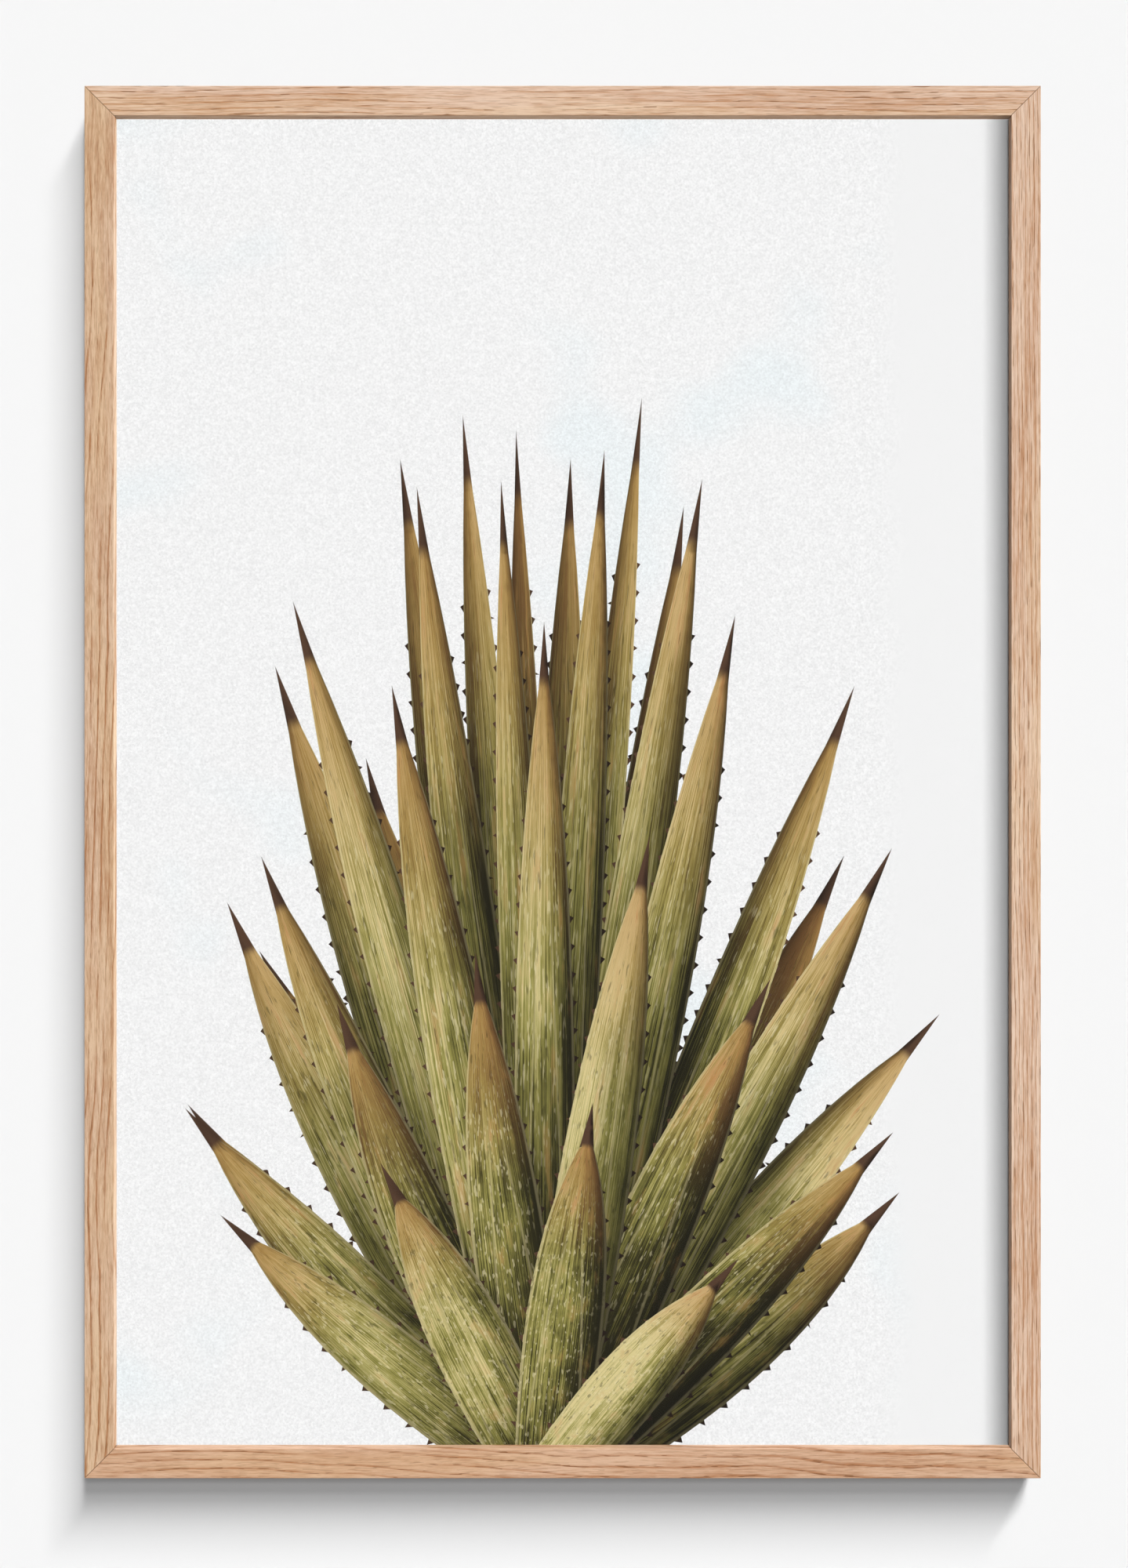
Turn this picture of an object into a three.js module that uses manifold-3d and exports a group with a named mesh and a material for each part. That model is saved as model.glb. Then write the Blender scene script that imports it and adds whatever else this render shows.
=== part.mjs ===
// A framed art print that hangs flat on a wall. Four mitred oak rails hold a clear
// sheet, the print, a foam board and a back board in a rebate. Eight steel clips turn
// on rivets in the back board, and their tips catch a groove cut in the rails. Two
// angle hangers are screwed up into the top rail, inside the recess at the back.
//
// Millimetres, +Z up. The front faces -Y and the wall is the plane y = 0. The origin
// is the middle of the top rail's flat back. A depth is measured from the wall
// forwards, so a point at depth d has y = -d.
import * as THREE from 'three';
import * as BufferGeometryUtils from 'three/addons/utils/BufferGeometryUtils.js';
import Module from 'manifold-3d';

const wasm = await Module();
wasm.setup();

// The frame as a whole.
const outerWidth = 645;
const outerHeight = 939;
const touchGap = 0.3;

// The rails' section: the face that shows, the depth, and the rebate behind the lip.
const faceWidth = 20;
const railDepth = 32;
const lipDepth = 10;
const rebateWidth = 6;
const frontArris = 0.8;
const backArris = 0.6;
const arrisSteps = 3;

// The sheets in the rebate, from the front to the back.
const sheetSideGap = 0.5;
const glazingThick = 2;
const printThick = 0.5;
const foamThick = 5;
const backThick = 3;
const rivetTailSpace = 0.9;

// The clips, their rivets, and the groove that the clips' tips turn into.
const clipInset = 12;
const clipAlongShort = 110;
const clipAlongLong = 228;
const clipThick = 1;
const clipWidth = 9;
const clipTipReach = 2.6;
const clipTipRound = 1.6;
const clipHole = 1.8;
const clipTail = 8;
const lugHeight = 2.6;
const rivetShank = 1.5;
const rivetHead = 3.4;
const rivetHeadRise = 1.4;
const rivetTail = 2.9;
const rivetTailThick = 0.6;
const grooveWidth = 3;
const grooveDepth = 4;

// The angle hangers and their screws.
const hangerAlong = 215;
const hangerWidth = 44;
const hangerDrop = 16;
const hangerThick = 1.2;
const hangerFront = 7;
const hangerBack = 0.8;
const hangerTeeth = 11;
const toothPitch = 2.4;
const toothDepth = 1.3;
const screwAlong = 14;
const screwDepth = 4.7;
const screwShank = 1.25;
const screwHead = 2.2;
const screwHeadRise = 1.4;
const screwLength = 10;
const screwSides = 16;

// Sizes that follow from those above.
const landWidth = faceWidth - rebateWidth;
const lipBack = railDepth - lipDepth;
const glazingFront = lipBack - touchGap;
const printFront = glazingFront - glazingThick - touchGap;
const foamFront = printFront - printThick - touchGap;
const backFront = foamFront - foamThick - touchGap - rivetTailSpace;
const backRear = backFront - backThick;
const clipFront = backRear - touchGap;
const clipRear = clipFront - clipThick;
const grooveMiddle = (clipFront + clipRear) / 2;
const rebateInsideWidth = outerWidth - 2 * landWidth;
const rebateInsideHeight = outerHeight - 2 * landWidth;
const sheetWidth = rebateInsideWidth - 2 * sheetSideGap;
const sheetHeight = rebateInsideHeight - 2 * sheetSideGap;
const frameCentreZ = landWidth / 2 - outerHeight / 2;

// Each side is built as the top one and turned about Y. Its ends are named from the
// low end of its own X to the high end.
const sides = [
  { name: 'top', turn: 0, length: outerWidth, away: outerHeight / 2, clipAlong: clipAlongShort,
    ends: ['left', 'right'] },
  { name: 'right', turn: Math.PI / 2, length: outerHeight, away: outerWidth / 2,
    clipAlong: clipAlongLong, ends: ['upper', 'lower'] },
  { name: 'bottom', turn: Math.PI, length: outerWidth, away: outerHeight / 2,
    clipAlong: clipAlongShort, ends: ['right', 'left'] },
  { name: 'left', turn: -Math.PI / 2, length: outerHeight, away: outerWidth / 2,
    clipAlong: clipAlongLong, ends: ['lower', 'upper'] },
];

const oak = new THREE.MeshStandardMaterial({ name: 'oak', color: 0xd6b295, roughness: 0.6 });
const clearSheet = new THREE.MeshStandardMaterial({
  name: 'clear_sheet', color: 0xf4f8f8, roughness: 0.05, transparent: true, opacity: 0.15 });
const artPaper = new THREE.MeshStandardMaterial({ name: 'art_paper', color: 0xf3f3f3, roughness: 0.85 });
const foamCore = new THREE.MeshStandardMaterial({ name: 'foam_core', color: 0xf2efe8, roughness: 0.9 });
const fibreboard = new THREE.MeshStandardMaterial({ name: 'fibreboard', color: 0x9a7350, roughness: 0.8 });
const zincSteel = new THREE.MeshStandardMaterial({
  name: 'zinc_steel', color: 0xb9bcbf, roughness: 0.35, metalness: 1 });

// A closed geometry as a solid that can be joined and cut.
function toSolid(geometry) {
  const bare = new THREE.BufferGeometry();
  bare.setAttribute('position', geometry.getAttribute('position').clone());
  if (geometry.index) bare.setIndex(geometry.index.clone());
  const merged = BufferGeometryUtils.mergeVertices(bare, 1e-4);
  return new wasm.Manifold(new wasm.Mesh({
    numProp: 3,
    vertProperties: new Float32Array(merged.getAttribute('position').array),
    triVerts: new Uint32Array(merged.index.array),
  }));
}

function toGeometry(solid) {
  const mesh = solid.getMesh();
  const geometry = new THREE.BufferGeometry();
  geometry.setAttribute('position', new THREE.BufferAttribute(mesh.vertProperties, 3));
  geometry.setIndex(new THREE.BufferAttribute(mesh.triVerts, 1));
  geometry.computeVertexNormals();
  return geometry;
}

function named(name, geometry, material) {
  const mesh = new THREE.Mesh(geometry, material);
  mesh.name = name;
  return mesh;
}

// A flat piece cut from a shape in X and Z, between two depths.
function plate(shape, rearDepth, frontDepth) {
  const geometry = new THREE.ExtrudeGeometry(shape, {
    depth: frontDepth - rearDepth, bevelEnabled: false, curveSegments: 6 });
  geometry.rotateX(Math.PI / 2);
  geometry.translate(0, -rearDepth, 0);
  return geometry;
}

function rectangle(width, height) {
  const shape = new THREE.Shape();
  shape.moveTo(-width / 2, -height / 2);
  shape.lineTo(width / 2, -height / 2);
  shape.lineTo(width / 2, height / 2);
  shape.lineTo(-width / 2, height / 2);
  shape.closePath();
  return shape;
}

function roundHole(x, z, radius) {
  const hole = new THREE.Path();
  hole.absarc(x, z, radius, 0, 2 * Math.PI, true);
  return hole;
}

// The rail's section: X runs in from the outer edge, Y is the depth.
function railSection() {
  const shape = new THREE.Shape();
  const grooveRear = grooveMiddle - grooveWidth / 2;
  const grooveFront = grooveMiddle + grooveWidth / 2;
  shape.moveTo(backArris, 0);
  shape.lineTo(landWidth, 0);
  shape.lineTo(landWidth, grooveRear);
  shape.lineTo(landWidth - grooveDepth, grooveRear);
  shape.lineTo(landWidth - grooveDepth, grooveFront);
  shape.lineTo(landWidth, grooveFront);
  shape.lineTo(landWidth, lipBack);
  shape.lineTo(faceWidth, lipBack);
  shape.lineTo(faceWidth, railDepth - frontArris);
  shape.absarc(faceWidth - frontArris, railDepth - frontArris, frontArris, 0, Math.PI / 2, false);
  shape.lineTo(frontArris, railDepth);
  shape.absarc(frontArris, railDepth - frontArris, frontArris, Math.PI / 2, Math.PI, false);
  shape.lineTo(0, backArris);
  shape.absarc(backArris, backArris, backArris, Math.PI, 1.5 * Math.PI, false);
  return shape;
}

// One rail along X with its outer edge at z = 0, both ends cut at 45 degrees.
function railGeometry(length) {
  const geometry = new THREE.ExtrudeGeometry(railSection(), {
    depth: length, steps: 1, bevelEnabled: false, curveSegments: arrisSteps });
  const place = geometry.getAttribute('position');
  const mitreGap = touchGap * Math.SQRT1_2;
  for (let i = 0; i < place.count; i += 1) {
    const reach = length / 2 - mitreGap - place.getX(i);
    place.setZ(i, place.getZ(i) > 0 ? reach : -reach);
  }
  geometry.applyMatrix4(new THREE.Matrix4().makeBasis(
    new THREE.Vector3(0, 0, -1), new THREE.Vector3(0, -1, 0), new THREE.Vector3(-1, 0, 0)));
  return geometry;
}

// The top rail has pilot holes for the hangers' screws, open into the recess.
function drilledRailGeometry(length) {
  let rail = toSolid(railGeometry(length));
  const pilot = new THREE.CylinderGeometry(
    screwShank + touchGap, screwShank + touchGap, screwLength, screwSides);
  pilot.rotateX(Math.PI / 2);
  for (const x of screwPlaces()) {
    const hole = pilot.clone();
    hole.translate(x, -screwDepth, screwLength / 2 - landWidth - 1);
    rail = rail.subtract(toSolid(hole));
  }
  return toGeometry(rail);
}

function screwPlaces() {
  return [-1, 1].flatMap((side) => [-1, 1].map((end) => side * hangerAlong + end * screwAlong));
}

// A clip points up from its pivot at the origin, and its tail ends in a finger lug.
function clipGeometry() {
  const half = clipWidth / 2;
  const tip = clipInset + clipTipReach;
  const shape = new THREE.Shape();
  shape.moveTo(-half, -clipTail);
  shape.lineTo(half, -clipTail);
  shape.lineTo(half, tip - clipTipRound);
  shape.absarc(half - clipTipRound, tip - clipTipRound, clipTipRound, 0, Math.PI / 2, false);
  shape.absarc(clipTipRound - half, tip - clipTipRound, clipTipRound, Math.PI / 2, Math.PI, false);
  shape.closePath();
  shape.holes.push(roundHole(0, 0, clipHole));
  const blade = toSolid(plate(shape, clipRear, clipFront));
  const lug = new THREE.BoxGeometry(clipWidth, clipThick + lugHeight, clipThick);
  lug.translate(0, -(clipFront + clipRear - lugHeight) / 2, clipThick / 2 - clipTail);
  return toGeometry(blade.add(toSolid(lug)));
}

// A rivet along Y: its head is behind the clip and its clenched tail before the board.
function rivetGeometry() {
  const headSeat = clipRear - touchGap;
  const tailSeat = backFront + touchGap;
  const profile = [
    [0, headSeat - rivetHeadRise],
    [0.6 * rivetHead, headSeat - 0.85 * rivetHeadRise],
    [0.9 * rivetHead, headSeat - 0.5 * rivetHeadRise],
    [rivetHead, headSeat],
    [rivetShank, headSeat],
    [rivetShank, tailSeat],
    [rivetTail, tailSeat],
    [rivetTail, tailSeat + rivetTailThick],
    [0, tailSeat + rivetTailThick],
  ].map(([radius, depth]) => new THREE.Vector2(radius, depth));
  const geometry = new THREE.LatheGeometry(profile, 20);
  geometry.rotateX(Math.PI);
  return geometry;
}

// A hanger is an angle: one leg lies under the top rail, the other hangs down close to
// the wall, and the teeth of its lower edge rest on the nail.
function hangerGeometry() {
  const half = hangerWidth / 2;
  const top = -landWidth - touchGap;
  const toothed = new THREE.Shape();
  toothed.moveTo(half, top);
  toothed.lineTo(-half, top);
  toothed.lineTo(-half, top - hangerDrop);
  const firstTooth = -(hangerTeeth * toothPitch) / 2;
  for (let i = 0; i < hangerTeeth; i += 1) {
    toothed.lineTo(firstTooth + i * toothPitch, top - hangerDrop);
    toothed.lineTo(firstTooth + (i + 0.5) * toothPitch, top - hangerDrop + toothDepth);
  }
  toothed.lineTo(-firstTooth, top - hangerDrop);
  toothed.lineTo(half, top - hangerDrop);
  toothed.closePath();
  const hanging = plate(toothed, hangerBack, hangerBack + hangerThick);
  const upper = new THREE.BoxGeometry(hangerWidth, hangerFront - hangerBack, hangerThick);
  upper.translate(0, -(hangerFront + hangerBack) / 2, top - hangerThick / 2);
  let angle = toSolid(hanging).add(toSolid(upper));
  const bore = new THREE.CylinderGeometry(
    screwShank + touchGap, screwShank + touchGap, 4 * hangerThick, screwSides);
  bore.rotateX(Math.PI / 2);
  for (const x of [-screwAlong, screwAlong]) {
    const hole = bore.clone();
    hole.translate(x, -screwDepth, top - hangerThick / 2);
    angle = angle.subtract(toSolid(hole));
  }
  return toGeometry(angle);
}

// A screw driven up into the rail, with its pan head under the hanger.
function screwGeometry() {
  const seat = -landWidth - 2 * touchGap - hangerThick;
  const end = screwLength - landWidth - 2;
  const profile = [
    [0, seat - screwHeadRise],
    [0.75 * screwHead, seat - screwHeadRise],
    [screwHead, seat - 0.6 * screwHeadRise],
    [screwHead, seat],
    [screwShank, seat],
    [screwShank, end - screwShank],
    [0, end],
  ].map(([radius, z]) => new THREE.Vector2(radius, z));
  const geometry = new THREE.LatheGeometry(profile, screwSides);
  geometry.rotateX(Math.PI / 2);
  return geometry;
}

// The back board has a hole for each rivet.
function backBoardGeometry() {
  const shape = rectangle(sheetWidth, sheetHeight);
  const clipAcross = rebateInsideWidth / 2 - clipInset;
  const clipUp = rebateInsideHeight / 2 - clipInset;
  for (const a of [-1, 1]) {
    for (const b of [-1, 1]) {
      shape.holes.push(roundHole(a * clipAlongShort, b * clipUp, clipHole));
      shape.holes.push(roundHole(a * clipAcross, b * clipAlongLong, clipHole));
    }
  }
  return plate(shape, backRear, backFront);
}

// Everything that lies on one side of the frame, placed about the frame's centre.
function buildSide(side) {
  const group = new THREE.Group();
  group.rotation.y = side.turn;
  const drilled = side.name === 'top';
  const rail = named(`rail_${side.name}`, drilled ? drilledRailGeometry(side.length)
    : railGeometry(side.length), oak);
  rail.position.z = side.away;
  group.add(rail);
  side.ends.forEach((end, i) => {
    const along = (2 * i - 1) * side.clipAlong;
    const clip = named(`clip_${side.name}_${end}`, clipGeometry(), zincSteel);
    const rivet = named(`rivet_${side.name}_${end}`, rivetGeometry(), zincSteel);
    for (const piece of [clip, rivet]) {
      piece.position.set(along, 0, side.away - landWidth - clipInset);
      group.add(piece);
    }
  });
  return group;
}

function buildSheets() {
  const group = new THREE.Group();
  const pane = rectangle(sheetWidth, sheetHeight);
  group.add(named('glazing', plate(pane, glazingFront - glazingThick, glazingFront), clearSheet));
  group.add(named('print_sheet', plate(pane, printFront - printThick, printFront), artPaper));
  group.add(named('foam_board', plate(pane, foamFront - foamThick, foamFront), foamCore));
  group.add(named('back_board', backBoardGeometry(), fibreboard));
  return group;
}

function buildHangers() {
  const group = new THREE.Group();
  group.position.z = outerHeight / 2;
  ['left', 'right'].forEach((end, i) => {
    const along = (2 * i - 1) * hangerAlong;
    const hanger = named(`hanger_${end}`, hangerGeometry(), zincSteel);
    hanger.position.x = along;
    group.add(hanger);
    ['outer', 'inner'].forEach((place, j) => {
      const screw = named(`screw_${end}_${place}`, screwGeometry(), zincSteel);
      screw.position.set(along + (2 * i - 1) * (1 - 2 * j) * screwAlong, -screwDepth, 0);
      group.add(screw);
    });
  });
  return group;
}

const framedPrint = new THREE.Group();
framedPrint.position.z = frameCentreZ;
for (const side of sides) framedPrint.add(buildSide(side));
framedPrint.add(buildSheets());
framedPrint.add(buildHangers());

export default framedPrint;
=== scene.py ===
import math
import random

import bmesh
import bpy
import numpy as np
from bmesh.types import BMEdge, BMFace, BMVert
from mathutils import Matrix, Vector
from mathutils.geometry import delaunay_2d_cdt


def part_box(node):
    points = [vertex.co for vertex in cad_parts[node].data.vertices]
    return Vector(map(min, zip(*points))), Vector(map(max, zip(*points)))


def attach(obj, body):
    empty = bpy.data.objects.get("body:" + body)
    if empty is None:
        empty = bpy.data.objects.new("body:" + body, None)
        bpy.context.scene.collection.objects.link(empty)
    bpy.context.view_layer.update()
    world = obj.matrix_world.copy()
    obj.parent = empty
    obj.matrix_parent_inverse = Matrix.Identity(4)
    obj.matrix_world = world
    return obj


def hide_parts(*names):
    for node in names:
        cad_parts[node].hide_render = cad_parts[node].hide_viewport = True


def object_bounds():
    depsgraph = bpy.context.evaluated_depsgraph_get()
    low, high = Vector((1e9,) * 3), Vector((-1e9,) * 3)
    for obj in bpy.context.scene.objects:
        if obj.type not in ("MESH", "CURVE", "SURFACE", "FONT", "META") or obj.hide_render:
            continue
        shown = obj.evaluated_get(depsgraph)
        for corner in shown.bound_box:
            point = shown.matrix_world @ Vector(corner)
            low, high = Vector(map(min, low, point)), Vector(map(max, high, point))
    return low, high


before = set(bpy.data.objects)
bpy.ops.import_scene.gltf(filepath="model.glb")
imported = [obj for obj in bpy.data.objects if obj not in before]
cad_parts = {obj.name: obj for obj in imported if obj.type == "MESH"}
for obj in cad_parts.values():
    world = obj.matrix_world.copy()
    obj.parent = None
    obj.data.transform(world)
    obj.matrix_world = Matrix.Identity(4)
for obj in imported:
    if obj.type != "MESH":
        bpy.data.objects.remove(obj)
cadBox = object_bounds()
mm = 0.001

# places that the pieces share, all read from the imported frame
topLow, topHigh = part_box("rail_top")
paneLow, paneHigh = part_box("print_sheet")
outerHalfWidth = -cadBox[0][0]
outerTop = cadBox[1][2]
outerBottom = cadBox[0][2]
centreZ = (outerTop + outerBottom) / 2
outerHalfHeight = (outerTop - outerBottom) / 2
railDepth = -cadBox[0][1]
faceWidth = topHigh[2] - topLow[2]


def linear(red, green, blue):  # a colour on the screen as the linear values that shaders use
    def one(value):
        value /= 255
        return value / 12.92 if value <= 0.04045 else ((value + 0.055) / 1.055) ** 2.4
    return (one(red), one(green), one(blue), 1.0)


class Wire:
    # a socket that can stand in a Python expression
    def __init__(self, finish, socket):
        self.finish = finish
        self.socket = socket

    def __add__(self, other): return self.finish.math("ADD", self, other)
    def __radd__(self, other): return self.finish.math("ADD", other, self)
    def __sub__(self, other): return self.finish.math("SUBTRACT", self, other)
    def __rsub__(self, other): return self.finish.math("SUBTRACT", other, self)
    def __mul__(self, other): return self.finish.math("MULTIPLY", self, other)
    def __rmul__(self, other): return self.finish.math("MULTIPLY", other, self)
    def __truediv__(self, other): return self.finish.math("DIVIDE", self, other)
    def __rtruediv__(self, other): return self.finish.math("DIVIDE", other, self)
    def __abs__(self): return self.finish.math("ABSOLUTE", self)

    def step(self, low, high):  # 0 below low, 1 above high, smooth between
        return self.finish.node("ShaderNodeMapRange", {"interpolation_type": "SMOOTHSTEP"},
                                {"Value": self, "From Min": low, "From Max": high})

    def clip(self): return self.finish.math("ADD", self, 0.0, clamp=True)
    def fraction(self): return self.finish.math("FRACT", self)


class Finish:
    # a material under construction
    def __init__(self, name):
        self.material = bpy.data.materials.new(name)
        self.material.use_nodes = True
        self.tree = self.material.node_tree
        self.shader = self.tree.nodes["Principled BSDF"]
        self.output = self.tree.nodes["Material Output"]

    def node(self, kind, settings, inputs, output=0):
        node = self.tree.nodes.new(kind)
        for key, value in settings.items():
            if key == "stops":
                setStops(node.color_ramp, value)
            else:
                setattr(node, key, value)
        for key, value in inputs.items():
            self.feed(node.inputs[key], value)
        return Wire(self, node.outputs[output])

    def feed(self, socket, value):
        if isinstance(value, Wire):
            self.tree.links.new(value.socket, socket)
        else:
            socket.default_value = value

    def set(self, **inputs):
        for key, value in inputs.items():
            self.feed(self.shader.inputs[key.replace("_", " ")], value)
        return self.material

    def math(self, operation, *values, clamp=False):
        return self.node("ShaderNodeMath", {"operation": operation, "use_clamp": clamp},
                         dict(enumerate(values)))

    def place(self):  # object coordinates in metres, as three numbers
        return self.split(self.node("ShaderNodeTexCoord", {}, {}, "Object"))

    def split(self, vector):
        return [self.node("ShaderNodeSeparateXYZ", {}, {0: vector}, part) for part in range(3)]

    def join(self, x, y, z):
        return self.node("ShaderNodeCombineXYZ", {}, {0: x, 1: y, 2: z})

    def noise(self, vector, scale=1.0, detail=2.0, rough=0.5):
        return self.node("ShaderNodeTexNoise", {},
                         {"Vector": vector, "Scale": scale, "Detail": detail, "Roughness": rough})

    def mix(self, factor, first, second, blend="MIX"):
        settings = {"data_type": "RGBA", "blend_type": blend, "clamp_factor": True}
        return self.node("ShaderNodeMix", settings, {0: factor, 6: first, 7: second}, 2)

    def times(self, colour, tint):  # one colour multiplied by another
        return self.mix(1.0, colour, tint, "MULTIPLY")

    def bump(self, height, strength, distance):
        normal = self.node("ShaderNodeBump", {},
                           {"Height": height, "Strength": strength, "Distance": distance})
        self.feed(self.shader.inputs["Normal"], normal)


def setStops(ramp, stops):
    while len(ramp.elements) < len(stops):
        ramp.elements.new(0.5)
    for element, (position, colour) in zip(ramp.elements, stops):
        element.position = position
        element.color = colour


def addPiece(name, mesh, material, body, nodes=(), sharp=None):
    for face in mesh.polygons:
        face.use_smooth = sharp is not None
    if sharp is not None:
        mesh.set_sharp_from_angle(angle=math.radians(sharp))
    mesh.materials.append(material)
    piece = bpy.data.objects.new(name, mesh)
    bpy.context.scene.collection.objects.link(piece)
    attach(piece, body)
    if nodes:
        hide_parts(*nodes)
    return piece


def only(parts, kind, among=None):  # the parts of one kind, or those of them that join some corners
    return [part for part in parts if isinstance(part, kind)
            and (among is None or all(vert in among for vert in part.verts))]


def bevel(bm, edges, width, steps, clamp=False):
    bmesh.ops.bevel(bm, geom=edges, offset=width, segments=steps, affect="EDGES", profile=0.5,
                    material=-1, clamp_overlap=clamp)


def meshFrom(bm, name, turn=None):
    if turn is not None:
        bmesh.ops.transform(bm, matrix=turn, verts=bm.verts)
    bmesh.ops.recalc_face_normals(bm, faces=bm.faces)
    mesh = bpy.data.meshes.new(name)
    bm.to_mesh(mesh)
    bm.free()
    return mesh


# oak

# inner: the tint of the walls round the opening, painted light on the left and bottom walls and painted
# shade on the top and right walls
oakLooks = {
    "rail_top": {"along": "X", "seed": 3.1, "light": (238, 207, 183), "dark": (198, 145, 104),
                 "pitch": 4.2 * mm, "drift": 5 * mm, "tilt": 0.004, "lines": 0.50, "pores": 0.85,
                 "lean": 0.5, "stretch": 0.6, "contrast": 1.2, "inner": (0.92, 0.81, 0.70)},
    "rail_bottom": {"along": "X", "seed": 11.7, "light": (227, 187, 155), "dark": (182, 125, 83),
                    "pitch": 6.4 * mm, "drift": 17 * mm, "tilt": 0.04, "lines": 0.54, "pores": 0.80,
                    "lean": 0.3, "stretch": 0.75, "contrast": 0.95, "inner": (1.06, 1.10, 1.16)},
    "rail_left": {"along": "Z", "seed": 23.9, "light": (227, 194, 163), "dark": (180, 125, 83),
                  "pitch": 5.6 * mm, "drift": 11 * mm, "tilt": -0.03, "lines": 0.85, "pores": 0.60,
                  "lean": 0.3, "stretch": 0.95, "contrast": 1.2, "inner": (1.06, 1.12, 1.18)},
    "rail_right": {"along": "Z", "seed": 37.3, "light": (239, 210, 186), "dark": (196, 143, 103),
                   "pitch": 2.9 * mm, "drift": 4 * mm, "tilt": 0.008, "lines": 0.57, "pores": 0.80,
                   "lean": 0.2, "stretch": 0.6, "contrast": 1.38, "inner": (0.56, 0.48, 0.42)},
}
oakShared = {  # what the four rails have alike
    "waves": {  # a noise's waves a metre along and across the grain, its detail and roughness
        "drift": (5.5, 9, 1.5, 0.4), "wobble": (40, 60, 2.0, 0.5), "fibre": (85, 1000, 3.0, 0.7),
        "streak": (24, 400, 3.0, 0.6), "broad": (7, 60, 2.0, 0.5), "pore": (120, 1100, 1.0, 0.5),
        "golden": (5, 45, 2.0, 0.5),
    },
    "driftGain": 2.2, "wobble": 1.6 * mm,
    "lineRises": (0.0, 0.05), "lineFalls": (0.09, 0.36), "lineFades": (0.30, 0.56),
    "fadeAlong": 9, "fadeByRing": 0.37, "fadeSlice": 0.5,
    "poreRises": (0.57, 0.62), "poreInLine": 0.9, "poreBetween": 0.30,
    "fibre": 1.6, "streak": 1.2, "broad": 0.9, "depth": 0.26, "deep": 0.60,
    "goldenShift": 1.8, "goldenRises": (0.42, 0.62), "goldenShare": 0.6,
    "goldenTint": (1.0, 0.985, 0.86, 1.0),
    "wallFrom": 0.1 * mm, "wallTo": 0.5 * mm,
    "seamThin": 0.15 * mm, "seamWide": 0.5 * mm, "seamDark": 0.7,
    "pit": 0.8, "ridge": 0.3, "bump": 0.25, "relief": 0.1 * mm,
    "rough": 0.52, "poreRough": 0.25, "fibreRough": 0.15, "shine": 0.25,
}


def oakFinish(name, look):
    oak = Finish(name)
    figure = oakShared
    x, y, z = oak.place()
    along, across = (x, z - centreZ) if look["along"] == "X" else (z - centreZ, x)
    section = across + y * look["lean"]  # growth rings lean through the section
    start = along + look["seed"]
    long = start * look["stretch"]

    def layer(kind, lengthwise):
        rate, cross, detail, rough = figure["waves"][kind]
        spot = oak.join(lengthwise * rate, section * cross, y * cross)
        return oak.noise(spot, detail=detail, rough=rough)

    # growth rings: dark lines that drift, wobble and fade, with pores along them
    drift = (layer("drift", start) - 0.5) * (figure["driftGain"] * look["drift"])
    wobble = (layer("wobble", start) - 0.5) * figure["wobble"]
    rings = (section + along * look["tilt"] + drift + wobble) / look["pitch"]
    phase = rings.fraction()
    fade = oak.noise(oak.join(start * figure["fadeAlong"], rings * figure["fadeByRing"],
                              figure["fadeSlice"])).step(*figure["lineFades"])
    line = phase.step(*figure["lineRises"]) * (1 - phase.step(*figure["lineFalls"])) * fade
    pore = layer("pore", long).step(*figure["poreRises"])
    pore = pore * (line * figure["poreInLine"] + figure["poreBetween"])

    # fine grain between them, and a golden cast in patches
    fibre = layer("fibre", long) - 0.5
    streak = layer("streak", long) - 0.5
    broad = layer("broad", long) - 0.5
    grain = fibre * figure["fibre"] + streak * figure["streak"] + broad * figure["broad"]
    depth = line * look["lines"] + grain * look["contrast"] + figure["depth"]
    dark = linear(*look["dark"])
    deep = tuple(figure["deep"] * part for part in dark[:3]) + (1.0,)
    colour = oak.mix(depth.clip(), linear(*look["light"]), dark)
    colour = oak.mix(pore * look["pores"], colour, deep)
    golden = layer("golden", long + figure["goldenShift"]).step(*figure["goldenRises"])
    colour = oak.mix(golden * figure["goldenShare"], colour, oak.times(colour, figure["goldenTint"]))

    # the glue line at each mitre, and the walls round the opening, whose tint is painted light on the
    # left and bottom walls and painted shade on the top and right walls
    halves = [outerHalfWidth, outerHalfHeight]
    if look["along"] == "Z":
        halves.reverse()
    mitre = abs(across) - abs(along) + (halves[0] - halves[1])  # how far in from the mitre
    seam = 1 - mitre.step(figure["seamThin"], figure["seamWide"])
    colour = oak.mix(seam * figure["seamDark"], colour, deep)
    # painted light on the left and bottom walls, painted shade on the top and right walls, one tint for
    # each rail
    reach = halves[1] - faceWidth
    wall = 1 - abs(across).step(reach + figure["wallFrom"], reach + figure["wallTo"])
    colour = oak.mix(wall, colour, oak.times(colour, look["inner"] + (1.0,)))

    oak.bump(1 - pore * figure["pit"] + fibre * figure["ridge"], figure["bump"], figure["relief"])
    rough = figure["rough"] + pore * figure["poreRough"] + fibre * figure["fibreRough"]
    return oak.set(Base_Color=colour, Roughness=rough, Specular_IOR_Level=figure["shine"])


# rails

railShape = {"rebate": 6 * mm, "lip": 10 * mm, "arris": 0.4 * mm, "backArris": 0.5 * mm,
             "grooveRear": 7.1 * mm, "grooveFront": 10.1 * mm, "grooveDepth": 4 * mm,
             "mitreGap": 0.26 * mm, "steps": 4, "backSteps": 2}

# each side as a turn about the frame's centre from the top one
railSides = {
    "rail_top": (0, outerHalfWidth, outerHalfHeight),
    "rail_right": (90, outerHalfHeight, outerHalfWidth),
    "rail_bottom": (180, outerHalfWidth, outerHalfHeight),
    "rail_left": (270, outerHalfHeight, outerHalfWidth),
}


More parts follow.
